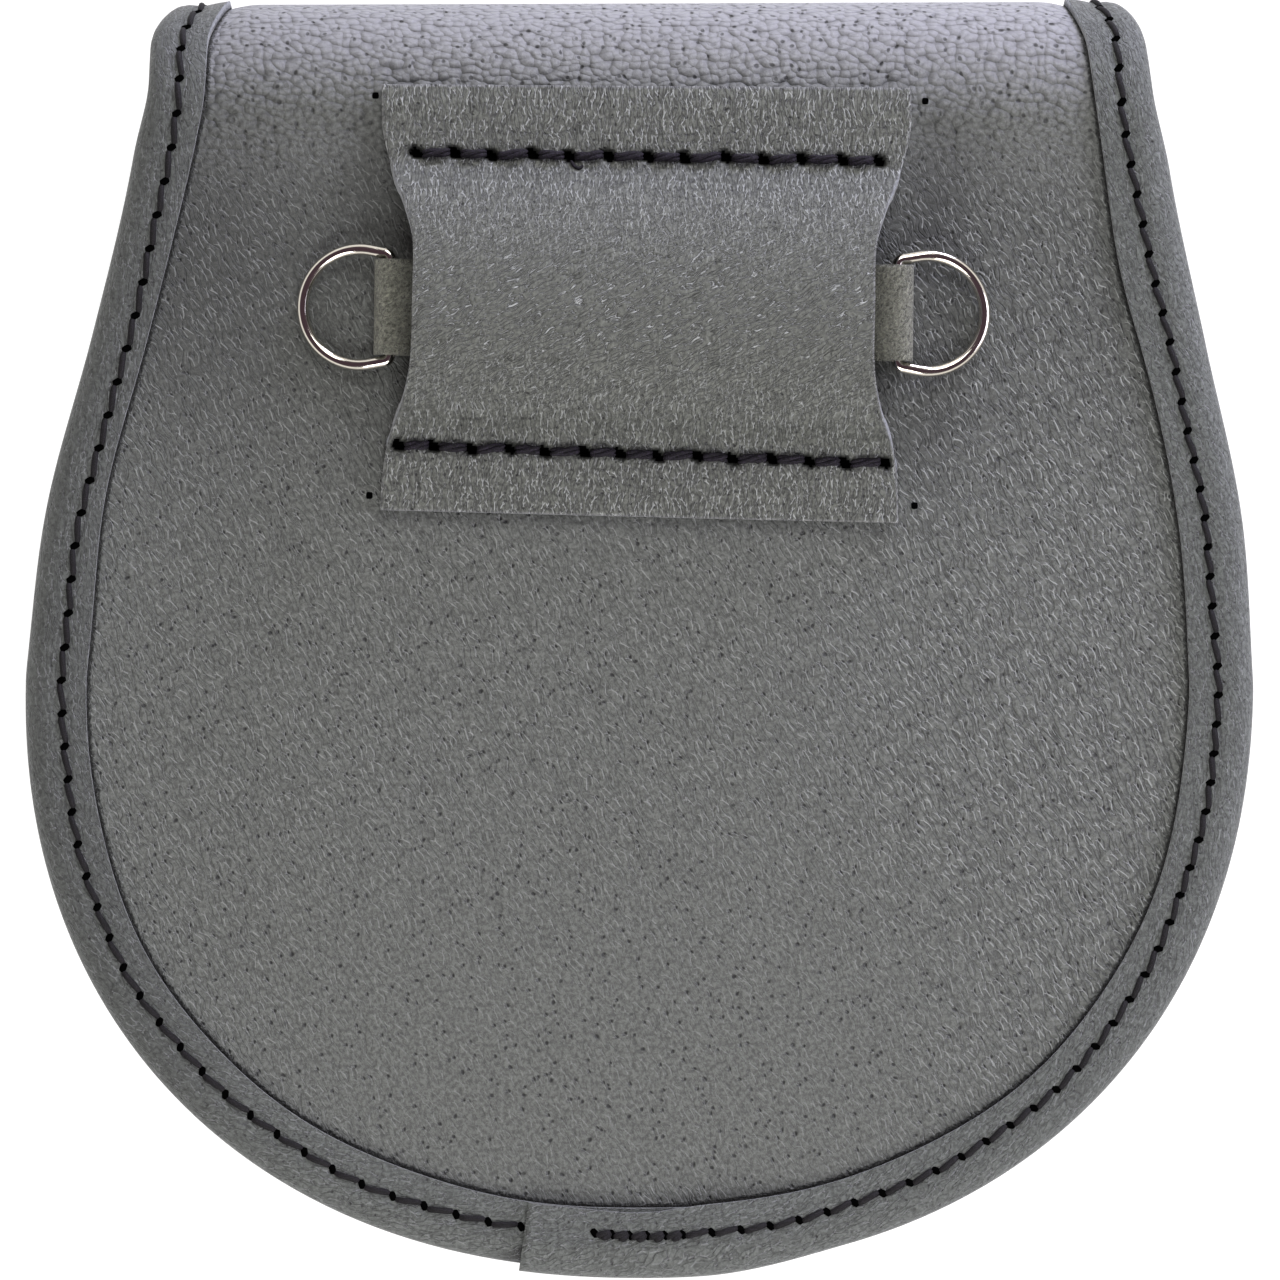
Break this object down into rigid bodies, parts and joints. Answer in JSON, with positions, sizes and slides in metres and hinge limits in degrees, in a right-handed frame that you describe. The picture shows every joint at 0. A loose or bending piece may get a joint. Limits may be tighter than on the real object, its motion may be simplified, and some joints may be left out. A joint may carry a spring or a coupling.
{
  "type": "leather sporran pouch lying on its flap",
  "caption": "D-shaped leather belt pouch with a fold-over flap, bound edge, belt loop on the back and D-rings for a chain strap.",
  "frame": {"origin": "middle of the footprint, on the surface that the flap rests on", "axes": "+X across the back, +Y from the round bottom up to the fold, +Z out of the back; the pouch lies on its flap, back up"},
  "size_m": [0.1802, 0.1872, 0.0464],
  "materials": {
    "panel_leather": "grey pebbled hide with pores and fine light creases",
    "binding_leather": "thin smooth grey tape, folded and stitched",
    "gusset_leather": "soft grey hide",
    "strap_leather": "dull napped grey hide",
    "ring_metal": "polished nickel plate on steel wire",
    "stud_metal": "plain plated stud"
  },
  "bodies": {
    "pouch": {"back_and_flap": "panel_leather", "edge_binding": "binding_leather", "gusset": "gusset_leather", "front_panel": "panel_leather", "belt_loop": "panel_leather", "ring_strap": "strap_leather", "press_stud": "stud_metal"},
    "left_d_ring": {"ring_left": "ring_metal"},
    "right_d_ring": {"ring_right": "ring_metal"}
  },
  "joints": [
    {"name": "ring_left_swing", "type": "hinge", "parent": "pouch", "child": "left_d_ring", "pos_m": [-0.03705, 0.0482, 0.03666], "axis": [0, 1, 0], "range_deg": [0, 110]},
    {"name": "ring_right_swing", "type": "hinge", "parent": "pouch", "child": "right_d_ring", "pos_m": [0.03705, 0.0482, 0.03641], "axis": [0, -1, 0], "range_deg": [0, 110]}
  ]
}
